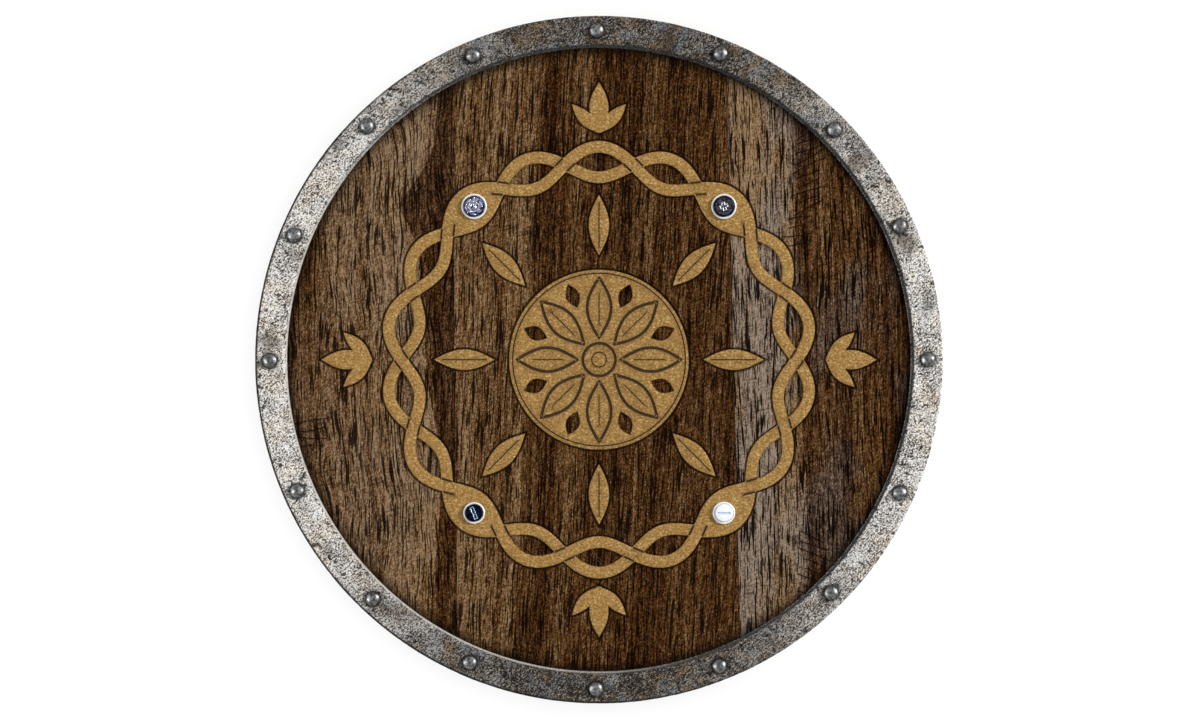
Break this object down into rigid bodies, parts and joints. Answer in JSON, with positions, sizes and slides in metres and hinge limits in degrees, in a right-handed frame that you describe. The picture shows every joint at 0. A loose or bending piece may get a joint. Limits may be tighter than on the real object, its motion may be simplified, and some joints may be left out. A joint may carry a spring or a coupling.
{
  "type": "wooden round shield",
  "caption": "Round walnut shield with a riveted iron rim, a sunk brass ornament on its face and two leather straps on its back.",
  "frame": {"origin": "centre of the rim's lower edge, which the shield lies on with its face up", "axes": "+Z out of the face, +Y towards the top of the ornament, +X to the right side of the face"},
  "size_m": [0.61, 0.61, 0.0389],
  "materials": {
    "iron": "pitted, worn grey iron",
    "rivet_steel": "dark satin",
    "walnut_light": "worn, open grained",
    "walnut_dark": "worn, open grained",
    "walnut_pale": "worn, open grained",
    "brass": "matt, finely grained",
    "chrome": "polished",
    "dark_steel": "darkened",
    "bright_steel": "bright",
    "leather": "waxed"
  },
  "bodies": {
    "root": {"iron_face_ring": "iron", "iron_edge_band": "iron", "board_left": "walnut_light", "board_middle": "walnut_dark", "board_right": "walnut_pale", "rivet_01": "rivet_steel", "rivet_02": "rivet_steel", "rivet_03": "rivet_steel", "rivet_04": "rivet_steel", "rivet_05": "rivet_steel", "rivet_06": "rivet_steel", "rivet_07": "rivet_steel", "rivet_08": "rivet_steel", "rivet_09": "rivet_steel", "rivet_10": "rivet_steel", "rivet_11": "rivet_steel", "rivet_12": "rivet_steel", "rivet_13": "rivet_steel", "rivet_14": "rivet_steel", "rivet_15": "rivet_steel", "rivet_16": "rivet_steel", "inlay_rosette": "brass", "inlay_braid_ring": "brass", "inlay_leaf_1": "brass", "inlay_leaf_2": "brass", "inlay_leaf_3": "brass", "inlay_leaf_4": "brass", "inlay_leaf_5": "brass", "inlay_leaf_6": "brass", "inlay_leaf_7": "brass", "inlay_leaf_8": "brass", "inlay_palmette_right": "brass", "inlay_palmette_top": "brass", "inlay_palmette_left": "brass", "inlay_palmette_bottom": "brass", "bolt_upper_left": "chrome", "cup_washer_upper_left": "bright_steel", "bolt_upper_right": "dark_steel", "cup_washer_upper_right": "bright_steel", "bolt_lower_left": "dark_steel", "cup_washer_lower_left": "bright_steel", "bolt_lower_right": "chrome", "cup_washer_lower_right": "bright_steel", "back_washer_upper_left": "bright_steel", "nut_upper_left": "bright_steel", "back_washer_upper_right": "bright_steel", "nut_upper_right": "bright_steel", "back_washer_lower_left": "bright_steel", "nut_lower_left": "bright_steel", "back_washer_lower_right": "bright_steel", "nut_lower_right": "bright_steel", "arm_strap": "leather", "hand_grip": "leather"}
  },
  "joints": []
}
